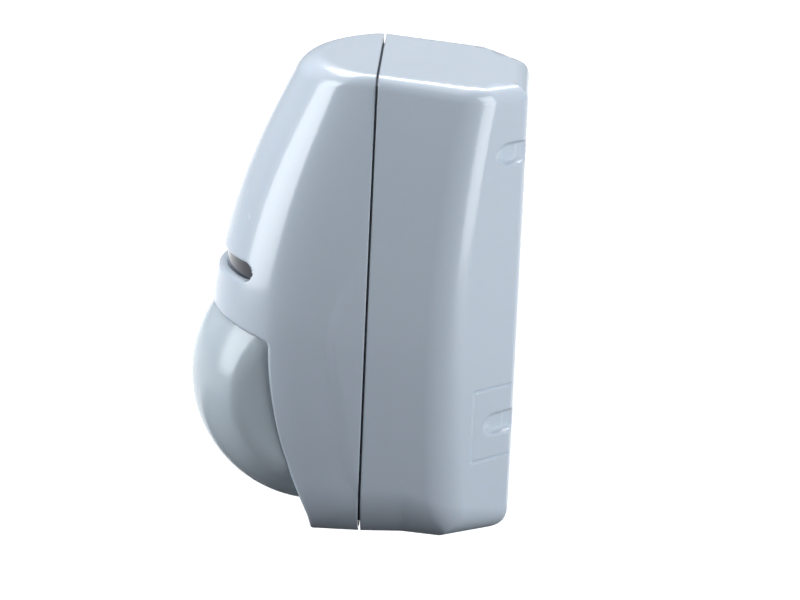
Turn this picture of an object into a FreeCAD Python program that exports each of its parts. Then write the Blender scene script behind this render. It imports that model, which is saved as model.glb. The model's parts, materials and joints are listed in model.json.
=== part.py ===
"""Wall-mounted infrared motion detector, modelled piece by piece in millimetres.

X runs across the detector, Y into the wall and Z up. The origin is the centre of the flat back face,
so the wall is the plane y = 0 and the lens looks along -Y. "Reach" is a distance from the wall towards
the room, and "drop" is a distance below the top edge of the housing.
"""
import FreeCAD, Part
import math
import os
import re

import Sketcher
from FreeCAD import Placement, Rotation, Vector

# ---------------------------------------------------------------------------------------------
# Driving dimensions
# ---------------------------------------------------------------------------------------------
SIZES = {
    # housing, both shells
    "body_height": 120.0,
    "body_width": 60.0,
    "base_depth": 36.5,
    "split_gap": 0.6,
    "over_cut": 1.0,
    "side_radius": 410.0,
    "widest_drop": 70.0,
    "top_corner": 2.5,
    "bottom_corner": 16.0,
    "base_wall": 2.2,
    "cover_wall": 2.2,
    # base
    "top_slope": 4.8,
    "bottom_slope": 2.2,
    "rear_flat_width": 27.2,
    "chamfer_blend": 3.0,
    "rear_top_blend": 3.5,
    "rear_bottom_blend": 5.0,
    "slot_height": 5.8,
    "slot_reach": 7.0,
    "slot_depth": 1.8,
    "backing_wall": 1.6,
    "upper_slot_drop": 19.3,
    "lower_slot_drop": 88.7,
    "panel_drop": 79.2,
    "panel_height": 18.3,
    "panel_reach": 9.4,
    "score_width": 0.5,
    "score_depth": 0.4,
    "wall_hole_spacing": 70.0,
    "wall_hole_width": 4.5,
    "wall_hole_rise": 3.0,
    "cable_hole_width": 12.0,
    "cable_hole_drop": 31.0,
    "rest_wall": 1.6,
    "rest_height": 8.0,
    "rest_inset": 3.0,
    # cover
    "crown_reach": 17.5,
    "brow_reach": 22.5,
    "visor_reach": 37.9,
    "lip_reach": 40.2,
    "visor_drop": 49.0,
    "lip_drop": 56.5,
    "rim_depth": 1.5,
    "rim_wall": 1.2,
    "rim_gap": 0.25,
    "rim_root": 1.5,
    "front_spread": 3.0,
    "front_overlap": 6.0,
    "flank_fall": 8.2,
    "flank_reach": 14.6,
    # lens
    "lens_radius": 32.4,
    "lens_wall": 1.1,
    "lens_side": 25.6,
    "lens_drop": 82.7,
    "lens_reach": 12.3,
    "lens_tuck": 2.0,
    "lens_gap": 0.15,
    "seam_tilt": 12.7,
    "seam_rise": 14.5,
    "cheek_reach": 12.1,
    "cheek_drop": 3.0,
    "foot_reach": 0.4,
    "foot_drop": 32.2,
    "frame_wall": 1.5,
    "frame_depth": 3.0,
    "frame_gap": 1.0,
    "frame_step": 3.5,
    # indicator window and its light guide
    "window_drop": 52.3,
    "window_height": 4.4,
    "window_length": 41.0,
    "window_wall": 1.8,
    "window_recess": 1.3,
    "window_gap": 0.1,
    "guide_width": 4.0,
    "guide_gap": 1.5,
    "collar_shift": 4.0,
    "collar_wall": 1.5,
    # circuit board
    "board_width": 44.0,
    "board_length": 94.0,
    "board_wall": 1.6,
    "board_drop": 59.5,
    "board_reach": 33.6,
    "board_hole_spacing": 88.0,
    "board_hole_width": 3.2,
    "post_width": 7.0,
    "screw_width": 3.0,
    "pilot_width": 2.4,
    "screw_length": 8.0,
    "screw_head_width": 5.6,
    "screw_head_height": 2.0,
    "cross_width": 0.7,
    # sensor
    "can_width": 8.2,
    "flange_width": 9.2,
    "flange_height": 0.6,
    "can_height": 4.2,
    "can_wall": 0.3,
    "filter_width": 4.0,
    "filter_wall": 0.5,
    "tower_width": 14.0,
    "tower_flange": 4.0,
    "tower_foot_height": 2.0,
    "tower_wall": 3.2,
    "filter_lap": 0.6,
    "leg_circle": 2.5,
    "leg_radius": 0.22,
    "leg_start": 0.2,
    # terminal block
    "way_pitch": 4.6,
    "terminal_depth": 9.0,
    "terminal_height": 10.0,
    "terminal_drop": 24.6,
    "terminal_screw_width": 3.0,
    "cage_width": 3.2,
    "cage_height": 4.0,
    "cage_start": 1.6,
    "cage_floor": 0.3,
    "cage_wall": 0.4,
    "well_gap": 0.15,
    "terminal_end": 1.2,
    # relay, capacitors and chips
    "relay_width": 10.0,
    "relay_length": 15.0,
    "relay_height": 8.0,
    "relay_side": 4.0,
    "relay_drop": 38.6,
    "capacitor_width": 6.3,
    "capacitor_height": 8.0,
    "capacitor_side": 2.0,
    "capacitor_pitch": 8.5,
    "capacitor_drop": 35.0,
    "controller_width": 9.0,
    "chip_height": 1.4,
    "chip_drop": 62.0,
    "controller_side": 11.0,
    "amplifier_side": 12.0,
    "regulator_side": 9.0,
    "regulator_drop": 103.0,
    "resistor_side": 17.0,
    "resistor_pitch": 3.0,
    "leg_reach": 0.45,
    "led_width": 3.0,
    "led_height": 4.5,
    # tamper switch
    "switch_width": 7.0,
    "switch_height": 7.0,
    "tamper_side": 8.0,
    "tamper_drop": 40.0,
    "tamper_post_width": 3.6,
    "well_floor": 0.5,
    "spring_end_gap": 0.05,
    "plunger_width": 3.0,
    "plunger_length": 4.5,
    "plunger_travel": 1.5,
    "spring_width": 2.2,
    "spring_wire": 0.3,
    # trimmer and option switches
    "trimmer_width": 7.0,
    "trimmer_height": 4.0,
    "rotor_width": 4.0,
    "rotor_side": 6.0,
    "adjuster_drop": 79.0,
    "rotor_well": 1.5,
    "rotor_lift": 1.4,
    "rotor_height": 1.7,
    "slider_pitch": 2.54,
    "slider_travel": 1.2,
    "slider_width": 1.1,
    "options_width": 9.6,
    "options_length": 6.2,
    "options_height": 3.4,
    "options_side": 8.0,
    "slider_height": 1.4,
    "slider_rise": 0.3,
    "slider_well": 2.0,
    # cover screw
    "cover_screw_width": 2.5,
    "cover_screw_length": 11.0,
    "cover_screw_reach": 5.8,
    "cover_head_width": 5.0,
    "cover_head_height": 1.8,
    "head_sink": 0.2,
    "cross_lift": 0.4,
    "cross_depth": 1.4,
    "thread_gap": 0.03,
    "cover_boss_width": 9.0,
    "cover_boss_height": 4.0,
    "tongue_gap": 0.9,
    "tongue_wall": 2.0,
    "tongue_width": 12.0,
    "tongue_lip": 1.0,
    "tongue_tail": 6.0,
    "catch_setback": 1.0,
    "catch_foot_depth": 4.0,
    "catch_slot_width": 3.9,
    "nut_width": 6.5,
    "nut_height": 2.0,
    "running_gap": 0.1,
    "part_gap": 0.3,
}

doc = FreeCAD.newDocument("motion_detector")
sheet = doc.addObject("Spreadsheet::Sheet", "Sizes")
for row, (alias, number) in enumerate(SIZES.items(), start=1):
    sheet.set(f"A{row}", alias)
    sheet.set(f"B{row}", str(number))
    sheet.setAlias(f"B{row}", alias)
doc.recompute()

ALIAS = re.compile(r"\b(" + "|".join(sorted(SIZES, key=len, reverse=True)) + r")\b")
FORWARD = Rotation(Vector(1, 0, 0), 90)
SIDEWAYS = Rotation(Vector(0, 1, 0), 90)
UPRIGHT = Rotation()
nodes = []


def linked(text):
    """Turn a formula in plain size names into a spreadsheet expression."""
    return ALIAS.sub(r"Sizes.\1", text)


def number(text):
    """Value of a formula with the sizes as they stand in the sheet."""
    found = sheet.evalExpression(linked(text))
    return float(getattr(found, "Value", found))


def bind(thing, **formulas):
    for field, text in formulas.items():
        thing.setExpression(field.replace("__", "."), linked(text))
    return thing


def place(thing, spot, turn=UPRIGHT):
    """Put a piece's own origin at a spot given by three formulas."""
    thing.Placement = Placement(Vector(*[number(text) for text in spot]), turn)
    for axis, text in zip("xyz", spot):
        thing.setExpression(f"Placement.Base.{axis}", linked(text))
    return thing


def node(thing, name):
    """Make an object a finished piece: its label names its file."""
    thing.Label = name
    nodes.append(thing)
    return thing


# ---------------------------------------------------------------------------------------------
# Primitives and booleans
# ---------------------------------------------------------------------------------------------
def block(name, low, size):
    """Box from its lowest corner and its three sizes."""
    thing = doc.addObject("Part::Box", name)
    bind(thing, Length=size[0], Width=size[1], Height=size[2])
    return place(thing, low)


def centred_block(name, middle, size):
    low = [f"({spot}) - ({length})/2" for spot, length in zip(middle, size)]
    return block(name, low, size)


def rod(name, start, radius, length, turn=UPRIGHT):
    """Cylinder that grows from its start up, or along -Y when turned FORWARD."""
    thing = doc.addObject("Part::Cylinder", name)
    bind(thing, Radius=radius, Height=length)
    return place(thing, start, turn)


def ball(name, middle, radius):
    thing = doc.addObject("Part::Sphere", name)
    bind(thing, Radius=radius)
    return place(thing, middle)


def fused(name, pieces):
    thing = doc.addObject("Part::MultiFuse", name)
    thing.Shapes = pieces
    return thing


def grouped(name, pieces):
    thing = doc.addObject("Part::Compound", name)
    thing.Links = pieces
    return thing


def cut(name, base, tools):
    thing = doc.addObject("Part::Cut", name)
    thing.Base = base
    thing.Tool = tools[0] if len(tools) == 1 else fused(name + "_tools", tools)
    return thing


def common(name, pieces):
    thing = doc.addObject("Part::MultiCommon", name)
    thing.Shapes = pieces
    return thing


def mirrored(name, source):
    """Copy of a piece on the other side of the detector's middle plane."""
    thing = doc.addObject("Part::Mirroring", name)
    thing.Source = source
    thing.Normal = Vector(1, 0, 0)
    return thing


# ---------------------------------------------------------------------------------------------
# Sketches
# ---------------------------------------------------------------------------------------------
def sketch_on(body, name, role, offset="0"):
    """Sketch on one of a body's own origin planes, moved along the plane's normal."""
    sketch = body.newObject("Sketcher::SketchObject", name)
    plane = next(item for item in body.Origin.OriginFeatures if item.Role == role)
    sketch.AttachmentSupport = [(plane, "")]
    sketch.MapMode = "FlatFace"
    sketch.setExpression("AttachmentOffset.Base.z", linked(offset))
    return sketch


def hold_point(sketch, geometry, end, spot):
    """Fix a point of a sketch at a spot given by two formulas."""
    for kind, axis, text in (("DistanceX", -2, spot[0]), ("DistanceY", -1, spot[1])):
        if abs(number(text)) < 1e-9:
            sketch.addConstraint(Sketcher.Constraint("PointOnObject", geometry, end, axis))
            continue
        index = sketch.addConstraint(Sketcher.Constraint(kind, -1, 1, geometry, end, number(text)))
        sketch.setExpression(f"Constraints[{index}]", linked(text))


def polygon(sketch, corners):
    """Closed outline of straight lines, each corner held by its two formulas."""
    spots = [Vector(number(x), number(y), 0) for x, y in corners]
    count = len(spots)
    for index, spot in enumerate(spots):
        sketch.addGeometry(Part.LineSegment(spot, spots[(index + 1) % count]), False)
    for index in range(count):
        joint = Sketcher.Constraint("Coincident", index, 2, (index + 1) % count, 1)
        sketch.addConstraint(joint)
    for index, corner in enumerate(corners):
        hold_point(sketch, index, 1, corner)
    return sketch


def section(sketch, half, crease, front):
    """Plan section of the cover: straight back and flanks, and one arc across the front."""
    spread, behind = "front_spread", "base_depth - front_overlap"
    flank = f"({crease}) - flank_fall"
    corners = [
        (f"-({half}) - {spread}", f"-({behind})"),
        (f"({half}) + {spread}", f"-({behind})"),
        (f"({half}) + {spread}", f"-(base_depth + {flank})"),
        (f"{half}", f"-(base_depth + ({crease}))"),
        (f"-({half})", f"-(base_depth + ({crease}))"),
        (f"-({half}) - {spread}", f"-(base_depth + {flank})"),
    ]
    spots = [Vector(number(x), number(y), 0) for x, y in corners]
    nose = Vector(0, -number(f"base_depth + ({front})"), 0)
    sketch.addGeometry(Part.LineSegment(spots[0], spots[1]), False)
    sketch.addGeometry(Part.LineSegment(spots[1], spots[2]), False)
    sketch.addGeometry(Part.LineSegment(spots[2], spots[3]), False)
    sketch.addGeometry(Part.Arc(spots[4], nose, spots[3]), False)
    sketch.addGeometry(Part.LineSegment(spots[4], spots[5]), False)
    sketch.addGeometry(Part.LineSegment(spots[5], spots[0]), False)
    for index in (0, 1, 4):
        sketch.addConstraint(Sketcher.Constraint("Coincident", index, 2, index + 1, 1))
    sketch.addConstraint(Sketcher.Constraint("Coincident", 5, 2, 0, 1))
    sketch.addConstraint(Sketcher.Constraint("Coincident", 2, 2, 3, 2))
    sketch.addConstraint(Sketcher.Constraint("Coincident", 3, 1, 4, 1))
    for geometry, corner in ((0, 0), (1, 1), (2, 2), (4, 4), (5, 5)):
        hold_point(sketch, geometry, 1, corners[corner])
    hold_point(sketch, 2, 2, corners[3])
    rise = f"(({front}) - ({crease}))"
    radius = f"(({half})^2 + {rise}^2) / (2*{rise})"
    index = sketch.addConstraint(Sketcher.Constraint("Radius", 3, number(radius)))
    sketch.setExpression(f"Constraints[{index}]", linked(radius))
    return sketch


def front_outline(sketch, inset):
    """The housing seen from the front: flat top and bottom, bowed sides and rounded corners."""
    side = f"side_radius - ({inset})"
    end = f"body_height/2 - ({inset})"
    level = "body_height/2 - widest_drop"
    middle = "side_radius - body_width/2"
    radii = (f"max(top_corner - ({inset}); 1)", f"max(bottom_corner - ({inset}); 2)")
    side_radius = number(side)
    centre_x, centre_z = -number(middle), number(level)
    arcs = []
    for corner_radius, edge in ((number(radii[0]), number(end)), (number(radii[1]), -number(end))):
        corner_z = edge - math.copysign(corner_radius, edge)
        reach = side_radius - corner_radius
        corner_x = centre_x + math.sqrt(reach**2 - (corner_z - centre_z)**2)
        slant = math.atan2(corner_z - centre_z, corner_x - centre_x)
        arcs.append((corner_x, corner_z, corner_radius, slant, edge))
    top_x, top_z, top_radius, top_slant, top_edge = arcs[0]
    low_x, low_z, low_radius, low_slant, low_edge = arcs[1]
    normal = Vector(0, 0, 1)
    right_angle = math.pi / 2

    def arc(x, z, radius, start, end):
        sketch.addGeometry(Part.ArcOfCircle(Part.Circle(Vector(x, z, 0), normal, radius), start, end),
                           False)

    # anticlockwise from the middle of the right side
    arc(centre_x, centre_z, side_radius, low_slant, top_slant)
    arc(top_x, top_z, top_radius, top_slant, right_angle)
    sketch.addGeometry(Part.LineSegment(Vector(top_x, top_edge, 0), Vector(-top_x, top_edge, 0)), False)
    arc(-top_x, top_z, top_radius, right_angle, math.pi - top_slant)
    arc(-centre_x, centre_z, side_radius, math.pi - top_slant, math.pi - low_slant)
    arc(-low_x, low_z, low_radius, math.pi - low_slant, 3 * right_angle)
    sketch.addGeometry(Part.LineSegment(Vector(-low_x, low_edge, 0), Vector(low_x, low_edge, 0)), False)
    arc(low_x, low_z, low_radius, -right_angle, low_slant)
    for first, second in ((0, 1), (1, 2), (2, 3), (3, 4), (4, 5), (5, 6), (6, 7), (7, 0)):
        sketch.addConstraint(Sketcher.Constraint("Tangent", first, 2, second, 1))
    hold_point(sketch, 0, 3, (f"-({middle})", level))
    hold_point(sketch, 4, 3, (middle, level))
    corner_radii = ((1, radii[0]), (3, radii[0]), (5, radii[1]), (7, radii[1]))
    for geometry, text in ((0, side), (4, side), *corner_radii):
        index = sketch.addConstraint(Sketcher.Constraint("Radius", geometry, number(text)))
        sketch.setExpression(f"Constraints[{index}]", linked(text))
    for geometry, text in ((2, end), (6, f"-({end})")):
        index = sketch.addConstraint(Sketcher.Constraint("DistanceY", -1, 1, geometry, 1, number(text)))
        sketch.setExpression(f"Constraints[{index}]", linked(text))
        sketch.addConstraint(Sketcher.Constraint("Horizontal", geometry))
    return sketch


def pad(body, sketch, length, both_ways=False):
    feature = body.newObject("PartDesign::Pad", sketch.Name + "_pad")
    feature.Profile = sketch
    feature.SideType = "Symmetric" if both_ways else "One side"
    bind(feature, Length=length)
    sketch.Visibility = False
    return feature


def pocket(body, sketch, length):
    """Pocket that runs the same way to both sides of its sketch, and must take something away."""
    doc.recompute()
    before = body.Shape.Volume
    feature = body.newObject("PartDesign::Pocket", sketch.Name + "_pocket")
    feature.Profile = sketch
    feature.SideType = "Symmetric"
    bind(feature, Length=length)
    doc.recompute()
    if feature.Shape.Volume >= before - 1e-6:
        raise RuntimeError(f"{feature.Name} removes nothing")
    return feature


def soften(body, name, radius, wanted):
    """Fillet every edge that the test picks; an edge is tested by its middle and its length."""
    doc.recompute()
    base = body.Tip
    picked = []
    for index, edge in enumerate(base.Shape.Edges, start=1):
        middle = edge.valueAt((edge.FirstParameter + edge.LastParameter) / 2)
        if wanted(middle, edge):
            picked.append(f"Edge{index}")
    if not picked:
        raise RuntimeError(f"{name} finds no edge")
    feature = body.newObject("PartDesign::Fillet", name)
    feature.Base = (base, picked)
    bind(feature, Radius=radius)
    doc.recompute()
    return feature


# ---------------------------------------------------------------------------------------------
# Rear base
# ---------------------------------------------------------------------------------------------
def base_form(name, inset):
    """The base as a solid block, or, with an inset, the room inside it."""
    body = doc.addObject("PartDesign::Body", name)
    sketch = front_outline(sketch_on(body, name + "_outline", "XZ_Plane", inset), inset)
    pad(body, sketch, f"base_depth - ({inset})")
    corner = f"rear_flat_width/2 - ({inset})*(sqrt(2) - 1) - ({inset})"
    wide = "body_width"
    for side, sign in (("right", "1"), ("left", "-1")):
        chamfer = sketch_on(body, f"{name}_{side}_chamfer", "XY_Plane")
        polygon(chamfer, [
            (f"{sign}*({corner})", "0"),
            (f"{sign}*({corner} + {wide})", "0"),
            (f"{sign}*({corner} + {wide})", f"-({wide})"),
        ])
        pocket(body, chamfer, "body_height*2")
    for end, sign, slope in (("top", "1", "top_slope"), ("bottom", "-1", "bottom_slope")):
        lean = f"tan({slope}*1deg)"
        edge = f"body_height/2 - ({inset})/cos({slope}*1deg)"
        wedge = sketch_on(body, f"{name}_{end}_slope", "YZ_Plane")
        beyond = "front_overlap"
        polygon(wedge, [
            ("-(base_depth)", f"{sign}*({edge})"),
            (beyond, f"{sign}*({edge} - (base_depth + {beyond})*{lean})"),
            (beyond, f"{sign}*({edge} + {beyond})"),
            ("-(base_depth)", f"{sign}*({edge} + {beyond})"),
        ])
        pocket(body, wedge, "body_width*2")
    return body


SLOT_LEVELS = {level: f"body_height/2 - {level}_slot_drop" for level in ("upper", "lower")}


def chamfer_strip(name, low, height, depths, reaches):
    """Prism along the right chamfer, between two depths under its surface and two reaches from the wall."""
    body = doc.addObject("PartDesign::Body", name)
    strip = sketch_on(body, name + "_profile", "XY_Plane", low)
    (deep, shallow), (near, far) = depths, reaches
    corners = [(deep, near), (shallow, near), (shallow, far), (deep, far)]
    polygon(strip, [(f"rear_flat_width/2 + {reach} - ({depth})*sqrt(2)", f"-({reach})")
                    for depth, reach in corners])
    pad(body, strip, height)
    return body


def slot_tools():
    """Shallow slots in both chamfers at both heights, open to the rear, rounded at the front end."""
    tools = []
    for level, middle in SLOT_LEVELS.items():
        start = "rear_flat_width/2 - slot_depth*2"
        across = "body_width/2"
        straight = block(f"{level}_slot_straight", (start, "-(slot_reach) + slot_height/2",
                         f"{middle} - slot_height/2"), (across, "slot_reach", "slot_height"))
        end = rod(f"{level}_slot_end", (start, "-(slot_reach) + slot_height/2", middle),
                  "slot_height/2", across, SIDEWAYS)
        skin = chamfer_strip(f"{level}_slot_skin", f"{middle} - slot_height", "slot_height*2",
                             ("slot_depth", "-(slot_height)"), ("0", "slot_reach + slot_height/2"))
        slot = common(f"{level}_slot", [fused(f"{level}_slot_form", [straight, end]), skin])
        tools += [slot, mirrored(f"{level}_slot_left", slot)]
    return tools


def slot_backings():
    """Thicker wall inside the base behind each slot."""
    pads = []
    for level, middle in SLOT_LEVELS.items():
        backing = chamfer_strip(f"{level}_backing", f"{middle} - slot_height/2 - backing_wall",
                                "slot_height + 2*backing_wall",
                                ("slot_depth + backing_wall", "base_wall/2"),
                                ("base_wall/2", "slot_reach + backing_wall"))
        pads += [backing, mirrored(f"{level}_backing_left", backing)]
    return pads


def score_tools():
    """Thin break-out lines round the lower slot, in the skin of both chamfers."""
    top = "body_height/2 - panel_drop"
    foot = f"{top} - panel_height"
    lines = []
    skin = "score_depth*sqrt(2)"
    near = "rear_flat_width/2"
    for end, height in (("top", top), ("bottom", foot)):
        body = doc.addObject("PartDesign::Body", f"score_{end}_form")
        strip = sketch_on(body, f"score_{end}", "XY_Plane", f"{height} - score_width/2")
        polygon(strip, [
            (f"{near} - {skin}", "0"),
            (f"{near} + 2*over_cut", "0"),
            (f"{near} + panel_reach + 2*over_cut", "-(panel_reach)"),
            (f"{near} + panel_reach - {skin}", "-(panel_reach)"),
        ])
        pad(body, strip, "score_width")
        lines.append(body)
    body = doc.addObject("PartDesign::Body", "score_side_form")
    strip = sketch_on(body, "score_side", "XY_Plane", foot)
    half = "score_width/2"
    polygon(strip, [
        (f"{near} + panel_reach - {half} - {skin}", f"-(panel_reach - {half})"),
        (f"{near} + panel_reach - {half} + 2*over_cut", f"-(panel_reach - {half})"),
        (f"{near} + panel_reach + {half} + 2*over_cut", f"-(panel_reach + {half})"),
        (f"{near} + panel_reach + {half} - {skin}", f"-(panel_reach + {half})"),
    ])
    pad(body, strip, "panel_height")
    lines.append(body)
    panel = fused("score_lines", lines)
    return [panel, mirrored("score_lines_left", panel)]


BOARD_BACK = "board_reach - board_wall"
BOARD_MIDDLE = "body_height/2 - board_drop"
BOARD_SCREW_HEIGHTS = (f"{BOARD_MIDDLE} + board_hole_spacing/2", f"{BOARD_MIDDLE} - board_hole_spacing/2")


def catch_foot(name):
    """Upright foot of the catch, which stands in a pocket in the floor of the base."""
    return block(name, ("-(tongue_width)/2", "-(base_depth - catch_setback)",
                        "-(body_height)/2 + base_wall/2"),
                 ("tongue_width", "catch_foot_depth",
                  "cover_boss_height + tongue_gap + tongue_wall - base_wall/2"))


def cover_catch():
    """Forked catch that the cover screw clamps. The slot is open at the front, so the cover swings out."""
    reach = "base_depth + cover_screw_reach"
    level = "-(body_height)/2 + cover_boss_height + tongue_gap"
    tongue = block("screw_tongue", ("-(tongue_width)/2", f"-({reach} + cover_screw_width + tongue_lip)",
                                    level),
                   ("tongue_width", "cover_screw_reach + cover_screw_width + tongue_tail", "tongue_wall"))
    slot = block("catch_slot", ("-(catch_slot_width)/2", f"-({reach} + catch_slot_width*2)",
                                f"{level} - over_cut"),
                 ("catch_slot_width", "catch_slot_width*2.5", "tongue_wall + 2*over_cut"))
    blank = fused("catch_blank", [catch_foot("catch_foot"), tongue])
    return node(cut("catch_body", blank, [slot]), "cover_catch")


def rear_base():
    outer = base_form("base_outside", "0")
    flat = number("rear_flat_width/2")
    deep = number("base_depth")

    def rear_corner(middle, edge):
        """Upright edges between the sides and the chamfers."""
        return abs(middle.z) < 20 and edge.Length > 60 and abs(middle.x) > flat + 5 and middle.y > 2 - deep

    soften(outer, "side_blend", "chamfer_blend", rear_corner)

    def rear_top(middle, edge):
        return abs(middle.x) < 1 and abs(middle.y) < 0.5 and middle.z > 0

    soften(outer, "top_blend", "rear_top_blend", rear_top)

    def rear_bottom(middle, edge):
        return abs(middle.x) < 1 and abs(middle.y) < 0.5 and middle.z < 0

    soften(outer, "bottom_blend", "rear_bottom_blend", rear_bottom)
    inner = base_form("base_inside", "base_wall")
    shell = cut("base_shell", outer, [inner])
    posts = []
    for index, level in enumerate(BOARD_SCREW_HEIGHTS):
        posts.append(rod(f"board_post_{index}", ("0", "-(base_wall)/2", level),
                         "post_width/2", f"{BOARD_BACK} - base_wall/2", FORWARD))
    ledges = []
    for index, (side, level) in enumerate((("1", "1"), ("1", "-1"), ("-1", "1"), ("-1", "-1"))):
        ledges.append(centred_block(
            f"board_rest_{index}",
            (f"{side}*(rear_flat_width/2 - rest_inset)", f"-(base_wall/2 + {BOARD_BACK})/2",
             f"{BOARD_MIDDLE} + ({level})*board_length/4"),
            ("rest_wall", f"{BOARD_BACK} - base_wall/2", "rest_height")))
    body = fused("base_with_posts", [shell, *posts, *ledges, *slot_backings()])
    tools = slot_tools() + score_tools()
    for index, level in enumerate(BOARD_SCREW_HEIGHTS):
        tools.append(rod(f"board_pilot_{index}", ("0", f"-({BOARD_BACK} - screw_length)", level),
                         "pilot_width/2", "screw_length + over_cut", FORWARD))
    for index, sign in enumerate(("1", "-1")):
        tools.append(rod(f"wall_hole_{index}",
                         ("0", "over_cut", f"wall_hole_rise + ({sign})*wall_hole_spacing/2"),
                         "wall_hole_width/2", "base_wall + 2*over_cut", FORWARD))
    tools.append(rod("cable_hole", ("0", "over_cut", "body_height/2 - cable_hole_drop - wall_hole_width"),
                     "cable_hole_width/2", "base_wall + 2*over_cut", FORWARD))
    tools.append(catch_foot("catch_pocket"))
    return node(cut("rear_base_body", body, tools), "rear_base")


# ---------------------------------------------------------------------------------------------
# Front cover
# ---------------------------------------------------------------------------------------------
# drop below the top edge, how far the flank's front edge lies ahead of the split, the front's reach
COVER_SECTIONS = (
    ("-1", "5.4", "crown_reach - 1"),
    ("0", "5.6", "crown_reach"),
    ("1.2", "5.8", "brow_reach - 2"),
    ("3.5", "6.1", "brow_reach"),
    ("21", "9.5", "(brow_reach*0.46 + visor_reach*0.54) - 1"),
    ("33", "12.2", "visor_reach - 3.9"),
    ("visor_drop", "14.4", "visor_reach"),
    ("lip_drop - 2.2", "14.9", "visor_reach + 0.4"),
    ("lip_drop", "15.1", "lip_reach"),
    ("lens_drop - seam_rise", "15.1", "lip_reach - 0.5"),
    ("lens_drop", "14.0", "lip_reach - 2"),
    ("lens_drop + 19", "10.0", "lip_reach - 7"),
    ("body_height + 1", "6.0", "lip_reach - 16"),
)


def cover_form(name, inset):
    """Everything inside the housing's outline and behind its front surface, brought in by an inset."""
    outline = doc.addObject("PartDesign::Body", name + "_outline")
    start = "base_depth + split_gap" if inset == "0" else "base_depth"
    sketch = front_outline(sketch_on(outline, name + "_outline_sketch", "XZ_Plane", start), inset)
    pad(outline, sketch, "lip_reach + 5")
    front = doc.addObject("PartDesign::Body", name + "_front")
    sketches = []
    for index, (drop, crease, reach) in enumerate(COVER_SECTIONS):
        height = f"body_height/2 - ({drop})"
        half = (f"body_width/2 - side_radius - ({inset})"
                f" + sqrt(side_radius^2 - (widest_drop - ({drop}))^2)")
        sketches.append(section(sketch_on(front, f"{name}_section_{index}", "XY_Plane", height),
                                half, f"{crease} - ({inset})*0.2", f"{reach} - ({inset})"))
    loft = front.newObject("PartDesign::AdditiveLoft", name + "_loft")
    loft.Profile = sketches[0]
    loft.Sections = sketches[1:]
    loft.Ruled = True
    return common(name, [outline, front])


def lens_zone(name, back, seam_drop, foot_drop):
    """Room in front of the lens's rim, moved back by one gap and trimmed at the seam and the foot."""
    body = doc.addObject("PartDesign::Body", name)
    sketch = sketch_on(body, name + "_profile", "YZ_Plane")
    middle_y = "-(base_depth + lens_reach)"
    middle_z = "body_height/2 - lens_drop"
    far = "60"
    slope = "tan(seam_tilt*1deg)"
    cheek = f"cheek_reach - ({back})"
    corners = [
        (cheek, f"seam_rise - ({back})*{slope} - ({seam_drop})"),
        (far, f"seam_rise + ({far} - cheek_reach)*{slope} - ({seam_drop})"),
        (far, f"-(foot_drop + 30) + ({foot_drop})"),
        (f"foot_reach - ({back})", f"-(foot_drop + 30) + ({foot_drop})"),
        (f"foot_reach - ({back})", "-(foot_drop)"),
        (cheek, "-(cheek_drop)"),
    ]
    polygon(sketch, [(f"{middle_y} - ({reach})", f"{middle_z} + {rise}") for reach, rise in corners])
    pad(body, sketch, "body_width*2", both_ways=True)
    return body


LENS_SPOT = ("0", "-(base_depth + lens_reach)", "body_height/2 - lens_drop")


def lens_solid(name, shrink):
    """Ball with two flat sides, smaller all round by one offset."""
    sphere = ball(name + "_ball", LENS_SPOT, f"lens_radius - ({shrink})")
    slab = centred_block(name + "_slab", LENS_SPOT,
                         (f"2*(lens_side - ({shrink}))", "3*lens_radius", "3*lens_radius"))
    return common(name, [sphere, slab])


def window_arc(name, outer, inner, height, length):
    """Band round the front at the indicator's level, part of a tube about an upright axis."""
    half = "(body_width/2)"
    rise = "(visor_reach - flank_reach)"
    plan_radius = f"(({half}^2 + {rise}^2) / (2*{rise}))"
    axis_reach = f"base_depth + visor_reach - {plan_radius}"
    foot = f"body_height/2 - window_drop - ({height})/2"
    spot = ("0", f"-({axis_reach})", foot)
    ring = cut(name + "_ring", rod(name + "_outside", spot, f"{plan_radius} - ({outer})", height),
               [rod(name + "_inside", spot, f"{plan_radius} - ({inner})", height)])
    keep = block(name + "_span", (f"-({length})/2", f"-({axis_reach} + 2*{plan_radius})", foot),
                 (length, f"2*{plan_radius}", height))
    return common(name, [ring, keep])


def window_slot(name, gap):
    """Round-ended slot across the front of the cover, smaller all round by one gap."""
    middle = "body_height/2 - window_drop"
    half = "(window_length - window_height)/2"
    radius = f"window_height/2 - ({gap})"
    straight = block(name + "_middle",
                     (f"-({half})", "-(base_depth + visor_reach*2)", f"{middle} - ({radius})"),
                     (f"2*{half}", "visor_reach*1.75", f"2*({radius})"))
    ends = [rod(f"{name}_end_{index}", (f"({sign})*{half}", "-(base_depth + visor_reach/4)", middle),
                radius, "visor_reach*1.75", FORWARD)
            for index, sign in enumerate(("1", "-1"))]
    return fused(name, [straight, *ends])


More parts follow.
